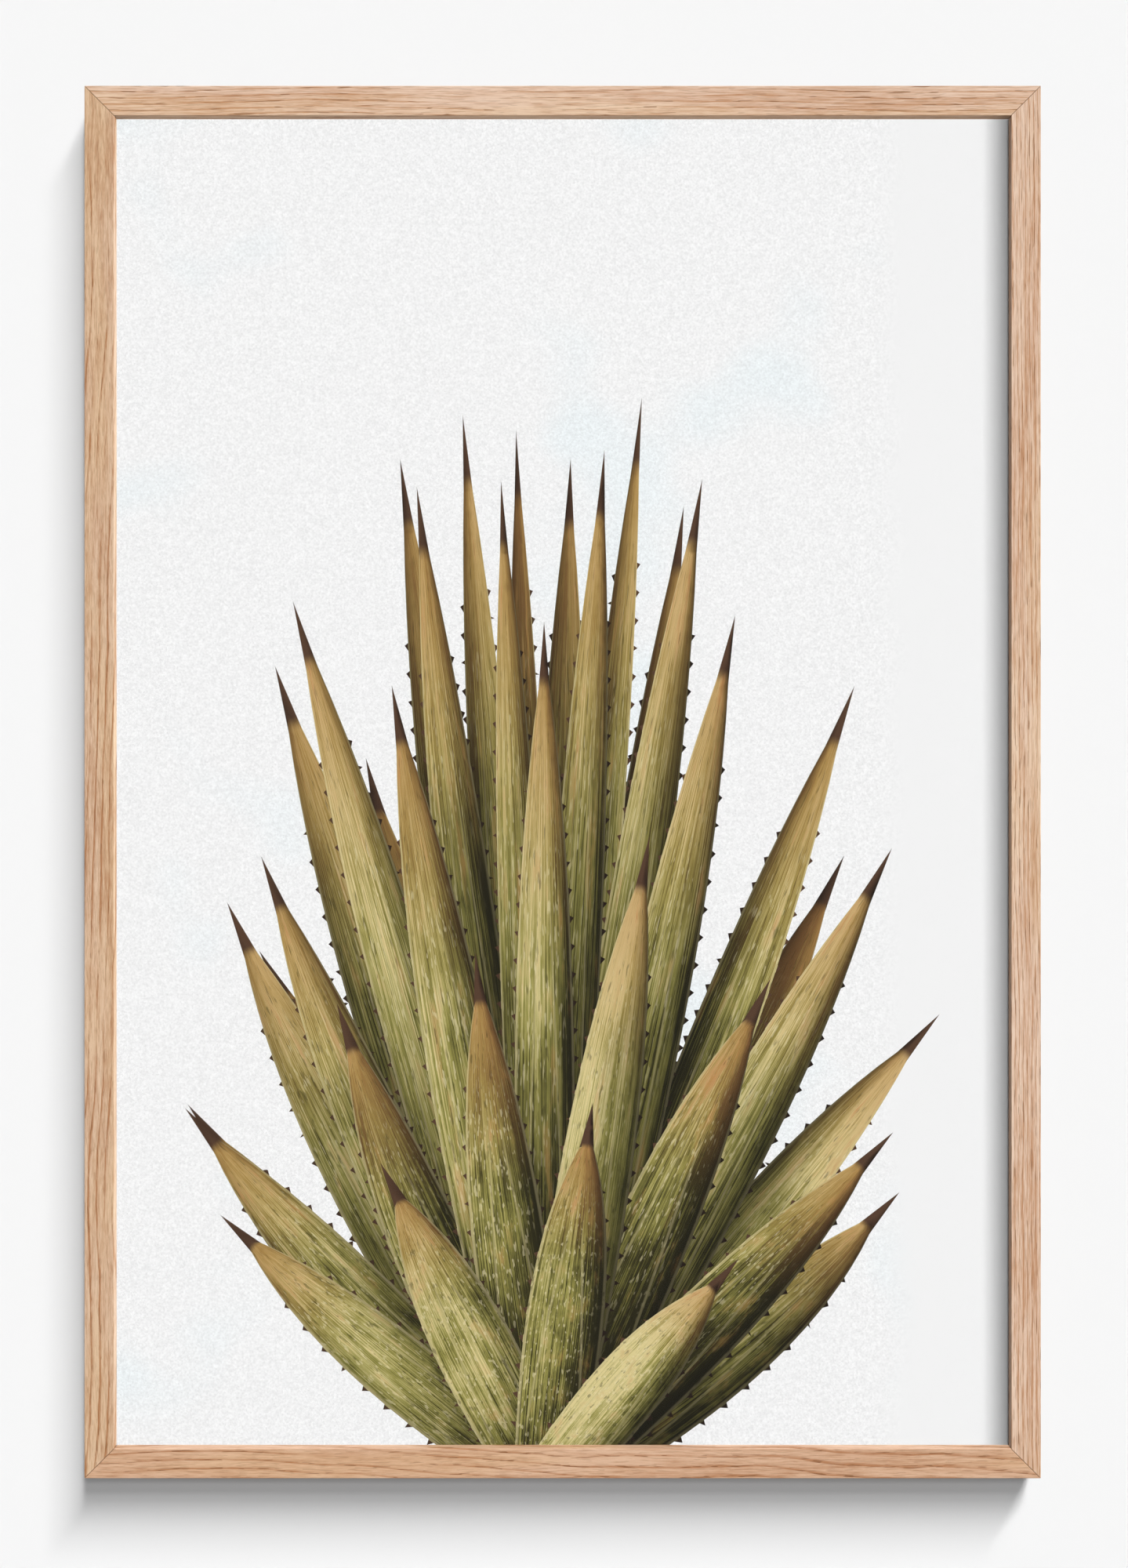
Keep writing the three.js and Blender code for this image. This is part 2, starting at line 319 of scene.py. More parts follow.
def sideTurn(degrees):  # from the top side's place to another side's
    return Matrix.Translation((0, 0, centreZ)) @ Matrix.Rotation(math.radians(degrees), 4, "Y")


def railOutline():  # distance in from the outer edge, and depth from the wall
    shape = railShape
    land = faceWidth - shape["rebate"]
    return [(0, 0), (land, 0), (land, shape["grooveRear"]),
            (land - shape["grooveDepth"], shape["grooveRear"]),
            (land - shape["grooveDepth"], shape["grooveFront"]), (land, shape["grooveFront"]),
            (land, railDepth - shape["lip"]), (faceWidth, railDepth - shape["lip"]),
            (faceWidth, railDepth), (0, railDepth)]


def makeRail(name):
    degrees, halfLength, away = railSides[name]
    bm = bmesh.new()
    verts = [bm.verts.new((-halfLength, -depth, away - inward)) for inward, depth in railOutline()]
    pulled = bmesh.ops.extrude_face_region(bm, geom=[bm.faces.new(verts)])["geom"]
    bmesh.ops.translate(bm, vec=(2 * halfLength, 0, 0), verts=only(pulled, BMVert))

    def arrises(inward, depth):
        def onLine(vert):
            return abs(away - vert.co.z - inward) < 1e-6 and abs(vert.co.y + depth) < 1e-6
        return [edge for edge in bm.edges if all(onLine(vert) for vert in edge.verts)]

    front = arrises(0, railDepth) + arrises(faceWidth, railDepth)
    bevel(bm, front, railShape["arris"], railShape["steps"])
    bevel(bm, arrises(0, 0), railShape["backArris"], railShape["backSteps"])
    for vert in bm.verts:  # cut both ends at 45 degrees
        reach = halfLength - (away - vert.co.z) - railShape["mitreGap"] / 2
        vert.co.x = math.copysign(reach, vert.co.x)
    mesh = meshFrom(bm, name + "_oak", sideTurn(degrees))
    finish = oakFinish(name.replace("rail", "oak"), oakLooks[name])
    return addPiece(name + "_oak", mesh, finish, "frame", [name])


rails = [makeRail(name) for name in railSides]
for rail in rails:
    rail.visible_diffuse = False
print("rails made")


# the printed picture: a rosette of pointed blades, made up for this print

rosette = {
    "seed": 5, "heart": (-12 * mm, -478 * mm), "count": 42, "turn": 137.508, "start": 100.0,
    "lowest": 34.0, "highest": 87.0, "riseCurve": 0.85, "riseDice": (-3, 3), "pitch": 14.0,
    "spread": 255 * mm, "height": 820 * mm, "lengthDice": (-0.04, 0.04),
    "innerFrom": 0.7, "innerShorter": 0.35, "leastReach": 0.35,
    "halfWidth": 30 * mm, "widthDice": (0.93, 1.07), "innerNarrower": 0.45,
    "bendDice": (-6, 16), "grid": 7 * mm,
}
bladeShape = {
    "rows": 24, "bendCurve": 1.5, "leastHalf": 0.8 * mm, "nearRound": 0.80, "farHollow": -0.66,
    "swell": (0.70, 0.62, -0.22), "taper": 3, "tipBlunt": 0.9, "spine": 22 * mm,
    "toothPitch": 19 * mm, "toothSize": 4.5 * mm, "toothShrink": 0.5, "toothStagger": 0.25,
    "teethFrom": 0.10, "teethAlong": 0.8, "toothParts": ((-0.13, 0), (0.08, 1), (0.16, 0)),
}
bladeShade = {
    "light": (-0.50, 0.50, 0.71), "shadowReach": 42 * mm, "shadowShift": 14 * mm,
    "own": 0.16, "cover": 0.45, "soft": 0.6, "dim": 0.74, "heart": 0.40, "heartReach": 0.40,
    "least": 0.13, "most": 1.2,
}


class Blade:
    # one leaf as a bent strip: u runs across it from -1 to 1, v from the heart to the tip
    def __init__(self, azimuth, elevation, length, width, bend, tone):
        steps = bladeShape["rows"]
        self.tone = tone
        self.width = width
        pitch = math.radians(rosette["pitch"])
        place = Vector((0, 0, 0))
        points, depths = [], []
        for i in range(steps + 1):
            points.append((place.x, place.z * math.cos(pitch) + place.y * math.sin(pitch)))
            depths.append(place.y)
            rise = math.radians(elevation + bend * (i / steps) ** bladeShape["bendCurve"])
            out = math.cos(rise) * length / steps
            place += Vector((out * math.sin(azimuth), out * math.cos(azimuth),
                             math.sin(rise) * length / steps))
        self.spine = np.array(points) + np.array(rosette["heart"])
        self.away = sum(depths) / len(depths)
        self.marks = np.linspace(0, 1, steps + 1)
        heading = np.gradient(self.spine, axis=0)
        heading /= np.linalg.norm(heading, axis=1, keepdims=True)
        self.side = np.stack([heading[:, 1], -heading[:, 0]], axis=1)
        self.end = heading[-1]
        self.reach = float(np.linalg.norm(self.spine[-1] - self.spine[0]))
        self.length = float(np.sum(np.linalg.norm(np.diff(self.spine, axis=0), axis=1)))
        # near leaves show their round backs, and far ones their hollow fronts
        self.curve = bladeShape["nearRound"] if place.y < 0 else bladeShape["farHollow"]

    def half(self, v):  # half the width of the leaf
        v = np.clip(v, 0, 1)
        base, swell, ease = bladeShape["swell"]
        taper = np.clip(1 - v ** bladeShape["taper"], 0, 1) ** bladeShape["tipBlunt"]
        return self.width * (base + swell * v + ease * v * v) * taper

    def along(self, table, v):
        return np.stack([np.interp(v, self.marks, table[:, i]) for i in (0, 1)], -1)

    def margin(self, side, v, out):
        wide = max(float(self.half(v)), bladeShape["leastHalf"]) + out
        return self.along(self.spine, v) + side * wide * self.along(self.side, v)

    def outline(self):  # both margins with their teeth, and the spine at the tip
        shape = bladeShape
        pitch = shape["toothPitch"] / self.length
        teeth = int(shape["teethAlong"] / pitch)
        sides = []
        for side in (1, -1):
            stops = [(i / shape["rows"], 0.0) for i in range(shape["rows"])]
            for i in range(teeth):
                v = shape["teethFrom"] + (i + shape["toothStagger"] * side) * pitch
                tall = shape["toothSize"] * (1 - shape["toothShrink"] * i / teeth)
                stops += [(v + part * pitch, tall * rise) for part, rise in shape["toothParts"]]
            sides.append([self.margin(side, v, out) for v, out in sorted(stops)])
        tip = self.spine[-1] + self.end * shape["spine"]
        ring = sides[0] + [tip] + sides[1][::-1]
        x, z = np.array(ring).T
        turn = np.sum(x * np.roll(z, -1) - z * np.roll(x, -1))
        return ring if turn > 0 else ring[::-1]

    def place(self, points):  # u and v of each point, and its distance outside the leaf
        count = len(self.spine) - 1
        best = np.full(len(points), np.inf)
        found = np.zeros((len(points), 2))
        for i in range(count):
            start, run = self.spine[i], self.spine[i + 1] - self.spine[i]
            part = ((points - start) @ run) / (run @ run)
            last = i == count - 1
            part = np.clip(part, 0, 9 if last else 1)  # the last stretch runs on past the tip
            away = points - start - part[:, None] * run
            distance = np.linalg.norm(away, axis=1)
            nearer = distance < best
            best = np.where(nearer, distance, best)
            v = (i + part) / count
            wide = np.maximum(self.half(v), bladeShape["leastHalf"])
            u = np.einsum("ij,ij->i", away, self.along(self.side, np.clip(v, 0, 1))) / wide
            found[nearer] = np.stack([u, v], -1)[nearer]
        return found[:, 0], found[:, 1], best - self.half(found[:, 1])

    def lit(self, u, v):  # how squarely the leaf's surface faces the picture's light
        side = self.along(self.side, np.clip(v, 0, 1))
        tilt = np.clip(u, -1, 1) * self.curve
        facing = np.sqrt(1 - tilt * tilt)
        light = bladeShade["light"]
        return tilt * (side[:, 0] * light[0] + side[:, 1] * light[1]) + facing * light[2]


def makeBlades():  # from the outermost, rank 0, to the innermost, rank 1
    dice = random.Random(rosette["seed"])
    lowest, highest = rosette["lowest"], rosette["highest"]
    blades = []
    for i in range(rosette["count"]):
        rank = i / (rosette["count"] - 1)
        azimuth = math.radians(rosette["start"] + i * rosette["turn"])
        rise = lowest + (highest - lowest) * rank ** rosette["riseCurve"]
        length = 1 / math.hypot(math.cos(math.radians(rise)) / rosette["spread"],
                                math.sin(math.radians(rise)) / rosette["height"])
        shorter = rosette["innerShorter"] * max(0.0, rank - rosette["innerFrom"])
        length *= 1 - shorter + dice.uniform(*rosette["lengthDice"])
        width = rosette["halfWidth"] * (1 - rosette["innerNarrower"] * rank ** 3)
        width *= dice.uniform(*rosette["widthDice"])
        bend = dice.uniform(*rosette["bendDice"]) * (1 - rank)
        rise += dice.uniform(*rosette["riseDice"])
        blade = Blade(azimuth, rise, length, width, bend, dice.random())
        if blade.reach > rosette["leastReach"] * length:
            blades.append(blade)
    return sorted(blades, key=lambda blade: -blade.away)


def cutPicture(blades):  # one flat sheet cut along every edge that shows
    left, right = paneLow[0], paneHigh[0]
    low, high = paneLow[2] - centreZ, paneHigh[2] - centreZ
    points = [(left, low), (right, low), (right, high), (left, high)]
    rings = [(0, 1, 2, 3)]
    for blade in blades:
        ring = blade.outline()
        rings.append(tuple(range(len(points), len(points) + len(ring))))
        points += [tuple(spot) for spot in ring]
    step = rosette["grid"]
    across, up = np.meshgrid(np.arange(left + step, right - step / 2, step),
                             np.arange(low + step, high - step / 2, step))
    across[::2] += step / 2
    fill = np.stack([across.ravel(), up.ravel()], -1)
    fill = fill[fill[:, 0] < right - step / 4]
    inside = np.zeros(len(fill), bool)
    for blade in blades:
        inside |= blade.place(fill)[2] < step
    points += [tuple(spot) for spot in fill[inside]]
    cut = delaunay_2d_cdt([Vector(point) for point in points], [], rings, 1, 1e-6)
    # each face belongs to the frontmost leaf that it lies in, or to the ground, which is -1
    kept = [(tri, max(within) - 1) for tri, within in zip(cut[2], cut[5]) if 0 in within]
    spots = np.array([tuple(spot) for spot in cut[0]])
    return spots, np.array([tri for tri, top in kept]), np.array([top for tri, top in kept])


def lightPicture(blades, spots, corners, owner):  # u, v and light on each corner of each face
    shade = bladeShade
    place = np.zeros((len(corners), 3, 2))
    light = np.ones((len(corners), 3))
    toLight = np.array(shade["light"][:2]) * shade["shadowShift"]

    def partly(share, clear):  # 1 where clear is 1, and less by the share where it is 0
        return 1 - share + share * clear

    for order, blade in enumerate(blades):
        rows = np.nonzero(owner == order)[0]
        if not len(rows):
            continue
        where = spots[corners[rows]].reshape(-1, 2)
        u, v = blade.place(where)[:2]
        clear = np.ones(len(where))
        for cover in blades[order + 1:]:
            near = np.clip(cover.place(where + toLight)[2] / shade["shadowReach"], 0, 1)
            clear *= partly(shade["cover"], near ** shade["soft"])
        value = (shade["own"] + blade.lit(u, v)) * partly(shade["dim"], clear)
        value *= partly(shade["heart"], np.clip(v / shade["heartReach"], 0, 1))
        place[rows] = np.stack([u, v], -1).reshape(-1, 3, 2)
        light[rows] = np.clip(value, shade["least"], shade["most"]).reshape(-1, 3)
    return place, light


def pictureMesh():
    blades = makeBlades()
    spots, corners, owner = cutPicture(blades)
    place, light = lightPicture(blades, spots, corners, owner)
    front = paneLow[1]
    bm = bmesh.new()
    uvLayer = bm.loops.layers.uv.new("bladeUv")
    lightLayer = bm.loops.layers.float.new("bladeLight")
    toneLayer = bm.loops.layers.float.new("bladeTone")
    verts = [bm.verts.new((x, front, z + centreZ)) for x, z in spots]
    for i, corner in enumerate(corners):
        face = bm.faces.new([verts[j] for j in corner])
        tone = blades[owner[i]].tone if owner[i] >= 0 else -1.0
        for j, loop in enumerate(face.loops):
            loop[uvLayer].uv = place[i, j]
            loop[lightLayer] = light[i, j]
            loop[toneLayer] = tone
    bmesh.ops.delete(bm, geom=[vert for vert in bm.verts if not vert.link_faces], context="VERTS")
    rim = [edge for edge in bm.edges if edge.is_boundary]
    pulled = bmesh.ops.extrude_edge_only(bm, edges=rim)["geom"]
    back = only(pulled, BMVert)
    bmesh.ops.translate(bm, vec=(0, paneHigh[1] - front, 0), verts=back)
    bmesh.ops.contextual_create(bm, geom=only(pulled, BMEdge, back))
    for face in bm.faces:
        if face.calc_center_median().y > front + 0.01 * mm:
            for loop in face.loops:
                loop[lightLayer] = 1.0
                loop[toneLayer] = -1.0
    print("picture cut into", len(bm.faces), "faces from", len(blades), "leaves")
    return meshFrom(bm, "print_sheet_picture")


inks = {name: linear(*shade) for name, shade in {
    "paper": (243, 243, 243), "haze": (235, 242, 244),
    "leafLight": (218, 203, 146), "leafMid": (150, 144, 74), "leafDark": (56, 52, 24),
    "flush": (186, 130, 78), "edge": (205, 192, 142), "spine": (84, 60, 44),
    "fleck": (226, 214, 168),
}.items()}
paperLook = {
    "fadeFrom": 204 * mm, "plainFrom": 243 * mm, "ruffle": 40 * mm, "ruffleWaves": 14,
    "hazeWaves": (6.1, 7.0), "hazeShift": 3.3, "hazeRises": (0.55, 0.70), "haze": 0.8,
    "mottleWaves": 750, "mottleRough": 0.8, "mottle": 0.62, "mean": 0.995,
    "bump": 0.02, "relief": 0.1 * mm, "rough": 0.85, "shine": 0.15,
}
leafLook = {
    "waves": {  # a noise's waves across a leaf, their shift, waves along and by tone, detail, roughness
        "fibre": (26, 0, 2.2, 40, 4.0, 0.7), "wax": (2.5, 0, 9, 80, 4.0, 0.62),
        "nick": (11, 5, 34, 70, 2.0, 0.5), "fleck": (15, 0, 48, 90, 1.0, 0.5),
    },
    "byTone": 0.35, "byFibre": 1.7, "byWax": 0.9, "byLight": 0.62, "rampAt": (0.12, 0.46, 0.80),
    "tipRises": (0.58, 1.0), "tipFlush": 0.55, "waxRises": (0.54, 0.75), "waxFlush": 0.45,
    "printAt": 0.86, "printSlope": 0.9, "printWidth": (0.015, 0.05), "print": 0.35,
    "printRises": (0.1, 0.25), "printFalls": (0.6, 0.8), "edgeRises": (0.90, 0.96), "edge": 0.6,
    "nickRises": (0.60, 0.70), "nick": 0.5, "fleckRises": (0.61, 0.68), "fleck": 0.5,
    "fleckFalls": (0.70, 0.92), "fleckLit": (0.15, 0.75),
    "hornOut": (1.005, 1.02), "hornUp": (0.955, 0.975), "gain": 1.25,
}


def groundColour(paper, plain, mottle):  # off-white, with a fine mottle and a faint blue haze
    look = paperLook
    x, y, z = paper.place()
    spot = paper.join(x * look["hazeWaves"][0] + look["hazeShift"], 0.0, z * look["hazeWaves"][1])
    haze = paper.noise(spot).step(*look["hazeRises"])
    colour = paper.mix(haze * (1 - plain) * look["haze"], inks["paper"], inks["haze"])
    grainy = mottle * (1 - plain) * look["mottle"] + look["mean"]
    return paper.times(colour, paper.join(grainy, grainy, grainy))


def leafColour(paper, tone):  # a waxy green with long fibres and flecks, and a pale margin
    look = leafLook
    u, v = paper.split(paper.node("ShaderNodeUVMap", {"uv_map": "bladeUv"}, {}))[:2]
    light = paper.node("ShaderNodeAttribute", {"attribute_name": "bladeLight"}, {}, "Fac")
    wide = abs(u)

    def layer(kind):
        across, shift, lengthwise, leafwise, detail, rough = look["waves"][kind]
        spot = paper.join(u * across + shift, v * lengthwise, tone * leafwise)
        return paper.noise(spot, detail=detail, rough=rough)

    fibre, wax = layer("fibre"), layer("wax")
    hue = (tone - 0.5) * look["byTone"] + (fibre - 0.5) * look["byFibre"]
    hue = (hue + (wax - 0.5) * look["byWax"] + light * look["byLight"]).clip()
    shades = (inks["leafDark"], inks["leafMid"], inks["leafLight"])
    stops = list(zip(look["rampAt"], shades))
    colour = paper.node("ShaderNodeValToRGB", {"stops": stops}, {0: hue})
    flush = v.step(*look["tipRises"]) * look["tipFlush"]
    flush = flush + wax.step(*look["waxRises"]) * look["waxFlush"]
    colour = paper.mix(flush, colour, inks["flush"])
    # the pale line that an older leaf's margin pressed into this one, and this leaf's own margin
    printLine = 1 - abs(wide - (look["printAt"] - v * look["printSlope"])).step(*look["printWidth"])
    printLine = printLine * v.step(*look["printRises"]) * (1 - v.step(*look["printFalls"]))
    colour = paper.mix(printLine * look["print"], colour, inks["edge"])
    colour = paper.mix(wide.step(*look["edgeRises"]) * look["edge"], colour, inks["edge"])
    nick = layer("nick").step(*look["nickRises"])
    colour = paper.mix(nick * look["nick"], colour, inks["leafDark"])
    fleck = layer("fleck").step(*look["fleckRises"])
    fleck = fleck * (1 - v.step(*look["fleckFalls"])) * light.step(*look["fleckLit"])
    colour = paper.mix(fleck * look["fleck"], colour, inks["fleck"])
    # the teeth lie outside the leaf's own width, and the spine takes up its tip
    horn = (wide.step(*look["hornOut"]) + v.step(*look["hornUp"])).clip()
    colour = paper.mix(horn, colour, inks["spine"])
    shade = (light * look["gain"]).clip()
    return paper.times(colour, paper.join(shade, shade, shade))


def pictureFinish():
    paper = Finish("printed_paper")
    look = paperLook
    x, y, z = paper.place()
    tone = paper.node("ShaderNodeAttribute", {"attribute_name": "bladeTone"}, {}, "Fac")
    waves = look["mottleWaves"]
    mottle = paper.noise(paper.join(x * waves, y * waves, z * waves), rough=look["mottleRough"]) - 0.5
    # mottle and haze fade out towards the right, along a ruffled edge
    waves = look["ruffleWaves"]
    ruffle = (paper.noise(paper.join(x * waves, 0.0, z * waves)) - 0.5) * look["ruffle"]
    plain = (x + ruffle).step(look["fadeFrom"], look["plainFrom"])
    isLeaf = tone.step(-0.6, -0.5)  # the ground's tone is -1, and a leaf's lies from 0 to 1
    colour = paper.mix(isLeaf, groundColour(paper, plain, mottle), leafColour(paper, tone))
    paper.bump(mottle, look["bump"], look["relief"])
    return paper.set(Base_Color=colour, Roughness=look["rough"], Specular_IOR_Level=look["shine"])


picture = addPiece("print_sheet_picture", pictureMesh(), pictureFinish(), "frame",
                   ["print_sheet"])
print("picture made")


# the glazing, the foam board and the back board keep their own solids

sheetLook = {"index": 1.49, "polish": 0.03, "coated": 0.3}  # a coated sheet reflects little
foamLook = {"dark": (236, 233, 226), "light": (246, 244, 239), "cells": 900,
            "bump": 0.2, "relief": 0.2 * mm, "rough": 0.9}
boardLook = {
    "light": (176, 135, 96), "dark": (112, 78, 50), "depth": 0.42,
    "fluffWaves": 420, "fluffRough": 0.65, "fluff": 1.2, "cloudWaves": 9, "cloud": 0.4,
    "flakeWaves": (620, 620, 190), "flakeRises": (0.58, 0.70), "flake": 0.42, "flakeHeight": 0.5,
    "chipWaves": (150, 400, 420), "chipRises": (0.60, 0.72), "chip": 0.35,
    "bump": 0.3, "relief": 0.2 * mm, "rough": 0.62, "fluffyRough": 0.25,
}
zincLook = {"dark": (168, 172, 176), "light": (210, 211, 209), "crystals": 900.0, "spangle": 0.5,
            "smearWaves": 260, "smear": 0.4, "bump": 0.15, "relief": 0.1 * mm,
            "rough": 0.34, "smearRough": 0.24}


def clearFinish():
    clear = Finish("clear_acrylic")
    tree, index = clear.tree, sheetLook["index"]
    through = tree.nodes.new("ShaderNodeBsdfTransparent")
    gloss = tree.nodes.new("ShaderNodeBsdfGlossy")
    gloss.inputs["Roughness"].default_value = sheetLook["polish"]
    blend = tree.nodes.new("ShaderNodeMixShader")
    inside = clear.node("ShaderNodeNewGeometry", {}, {}, "Backfacing")
    fresnel = clear.node("ShaderNodeFresnel", {}, {"IOR": inside * (1 / index - index) + index})
    clear.feed(blend.inputs[0], fresnel * sheetLook["coated"])
    tree.links.new(through.outputs[0], blend.inputs[1])
    tree.links.new(gloss.outputs[0], blend.inputs[2])
    tree.links.new(blend.outputs[0], clear.output.inputs[0])
    tree.nodes.remove(clear.shader)
    return clear.material


def foamFinish():
    foam = Finish("foam_core")
    cells = foam.noise(foam.join(*foam.place()), scale=foamLook["cells"])
    colour = foam.mix(cells, linear(*foamLook["dark"]), linear(*foamLook["light"]))
    foam.bump(cells, foamLook["bump"], foamLook["relief"])
    return foam.set(Base_Color=colour, Roughness=foamLook["rough"])


def fibreboardFinish():
    board = Finish("fibreboard")
    look = boardLook
    place = board.place()

    def stretched(waves):
        return board.join(*[along * wave for along, wave in zip(place, waves)])

    fluff = board.noise(board.join(*place), look["fluffWaves"], 4.0, look["fluffRough"])
    flake = board.noise(stretched(look["flakeWaves"])).step(*look["flakeRises"])
    chip = board.noise(stretched(look["chipWaves"]), detail=3.0).step(*look["chipRises"])
    cloud = board.noise(board.join(*place), look["cloudWaves"], 3.0)
    depth = (fluff - 0.5) * look["fluff"] + (cloud - 0.5) * look["cloud"]
    depth = depth + flake * look["flake"] - chip * look["chip"] + look["depth"]
    colour = board.mix(depth.clip(), linear(*look["light"]), linear(*look["dark"]))
    board.bump(fluff + flake * look["flakeHeight"], look["bump"], look["relief"])
    return board.set(Base_Color=colour, Roughness=(look["rough"] + fluff * look["fluffyRough"]))


def zincFinish():
    zinc = Finish("zinc_steel")
    look = zincLook
    spot = zinc.join(*zinc.place())
    crystal = zinc.node("ShaderNodeTexVoronoi", {"feature": "F1"},
                        {"Vector": spot, "Scale": look["crystals"]}, "Color")
    spangle = zinc.split(crystal)[0]
    smear = zinc.noise(spot, look["smearWaves"], 3.0)
    pale = spangle * look["spangle"] + smear * look["smear"]
    colour = zinc.mix(pale, linear(*look["dark"]), linear(*look["light"]))
    zinc.bump(smear, look["bump"], look["relief"])
    rough = look["rough"] + smear * look["smearRough"]
    return zinc.set(Base_Color=colour, Metallic=1.0, Roughness=rough)


def dress(node, material):
    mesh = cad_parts[node].data
    mesh.materials.clear()
    mesh.materials.append(material)


dress("glazing", clearFinish())
dress("foam_board", foamFinish())
dress("back_board", fibreboardFinish())
zinc = zincFinish()
print("sheets dressed")


# steel hardware: folded plates for the clips and hangers, turned rivets and screws

clipShape = {"width": 9 * mm, "outerDepth": 9.1 * mm, "thick": -1 * mm, "tip": 14.6 * mm,
             "tail": 8 * mm, "tipRound": 1.6 * mm, "tipSteps": 5, "bore": 1.8 * mm,
             "boreSteps": 20, "lug": -2.6 * mm, "bend": 0.7 * mm}
hangerShape = {"width": 44 * mm, "drop": 16 * mm, "outerDepth": 0.8 * mm, "thick": 1.2 * mm,
               "leg": 5 * mm, "teeth": 11, "pitch": 2.4 * mm, "tooth": 1.3 * mm,
               "bend": 0.9 * mm}
rivetShape = {"seat": 7.8 * mm, "head": 3.4 * mm, "rise": 1.4 * mm, "shank": 1.5 * mm,
              "tailSeat": 12.7 * mm, "tail": 2.9 * mm, "tailThick": 0.6 * mm,
              "tailEdge": 0.2 * mm, "tailFoot": 0.94, "tailTop": 0.9, "domeSteps": 7}
screwShape = {"head": 2.2 * mm, "rise": 1.4 * mm, "shank": 1.25 * mm, "reach": 7.6 * mm,
              "dome": ((0.72, 0), (0.9, 0.15 * mm), (1, 0.55 * mm)), "seatEdge": 0.1 * mm,
              "recess": 1.3 * mm, "slot": 0.32 * mm, "recessDepth": 0.8 * mm, "taper": 0.6,
              "thread": 1.1 * mm, "turns": 6, "plain": 0.8, "root": 0.8}
nailShape = {"leg": 4.6 * mm, "thick": 0.7 * mm, "deep": 2 * mm, "proud": 0.05 * mm,
             "slope": 0.4, "crown": 1.6, "places": (5 * mm, 10.5 * mm)}
# an edge that turns less than flat degrees goes, past the next two it is rounded or drawn sharp
steelEdges = {"flat": 1, "rounded": 40, "sharp": 30, "round": 0.16 * mm,
              "steps": 2, "bendSteps": 3, "turnSteps": 24}


def pull(bm, faces, depth):  # extrude faces by a depth, and give the new ones back
    pulled = bmesh.ops.extrude_face_region(bm, geom=faces)["geom"]
    bmesh.ops.translate(bm, vec=(0, -depth, 0), verts=only(pulled, BMVert))
    return only(pulled, BMFace)


def soften(bm):  # round each sharp edge a little
    flat, rounded = math.radians(steelEdges["flat"]), math.radians(steelEdges["rounded"])
    bmesh.ops.dissolve_limit(bm, angle_limit=flat, verts=bm.verts, edges=bm.edges)
    bmesh.ops.recalc_face_normals(bm, faces=bm.faces)
    sharp = [edge for edge in bm.edges if edge.is_manifold and edge.calc_face_angle() > rounded]
    bevel(bm, sharp, steelEdges["round"], steelEdges["steps"], clamp=True)


def foldedPlate(shape, outline, rise, fold, upwards):  # a flat outline with one edge folded over
    bm = bmesh.new()
    verts = [bm.verts.new((x, -shape["outerDepth"], z)) for x, z in outline]
    for i, vert in enumerate(verts):
        bm.edges.new((verts[i - 1], vert))
    if "bore" in shape:
        turn = (Matrix.Translation((0, -shape["outerDepth"], 0))
                @ Matrix.Rotation(math.pi / 2, 4, "X"))
        bmesh.ops.create_circle(bm, segments=shape["boreSteps"], radius=shape["bore"], matrix=turn)
    bmesh.ops.triangle_fill(bm, use_beauty=True, edges=bm.edges[:])
    bmesh.ops.bisect_plane(bm, geom=bm.verts[:] + bm.edges[:] + bm.faces[:],
                           plane_co=(0, 0, fold), plane_no=(0, 0, 1))
    inner = pull(bm, bm.faces[:], shape["thick"])
    pull(bm, [face for face in inner if (face.calc_center_median().z > fold) == upwards], rise)
    end = max(z for x, z in outline) if upwards else min(z for x, z in outline)
    outer = [edge for edge in bm.edges
             if all(abs(vert.co.z - end) < 1e-7 and abs(vert.co.y + shape["outerDepth"]) < 1e-7
                    for vert in edge.verts)]
    bevel(bm, outer, shape["bend"], steelEdges["bendSteps"])
    soften(bm)
    return bm


def quarterTurn(steps):  # the angles from 0 to a quarter turn
    return [math.pi / 2 * i / steps for i in range(steps + 1)]


def clipOutline():
    half, tip, bend = clipShape["width"] / 2, clipShape["tip"], clipShape["tipRound"]
    corner = [(half - bend + bend * math.cos(turn), tip - bend + bend * math.sin(turn))
              for turn in quarterTurn(clipShape["tipSteps"])]
    return ([(-half, -clipShape["tail"]), (half, -clipShape["tail"])] + corner
            + [(-x, z) for x, z in reversed(corner)])


def hangerOutline(top):
    half, low, pitch = hangerShape["width"] / 2, top - hangerShape["drop"], hangerShape["pitch"]
    first = -hangerShape["teeth"] * pitch / 2
    teeth = []
    for i in range(hangerShape["teeth"]):
        teeth += [(first + i * pitch, low), (first + (i + 0.5) * pitch, low + hangerShape["tooth"])]
    return [(half, top), (-half, top), (-half, low)] + teeth + [(-first, low), (half, low)]


def turned(bm, profile):  # a profile of radius and height, spun about Z
    verts = [bm.verts.new((radius, 0, z)) for radius, z in profile]
    edges = [bm.edges.new(pair) for pair in zip(verts, verts[1:])]
    bmesh.ops.spin(bm, geom=verts + edges, cent=(0, 0, 0), axis=(0, 0, 1), angle=2 * math.pi,
                   steps=steelEdges["turnSteps"], use_merge=True)
    bmesh.ops.remove_doubles(bm, verts=bm.verts, dist=1e-7)


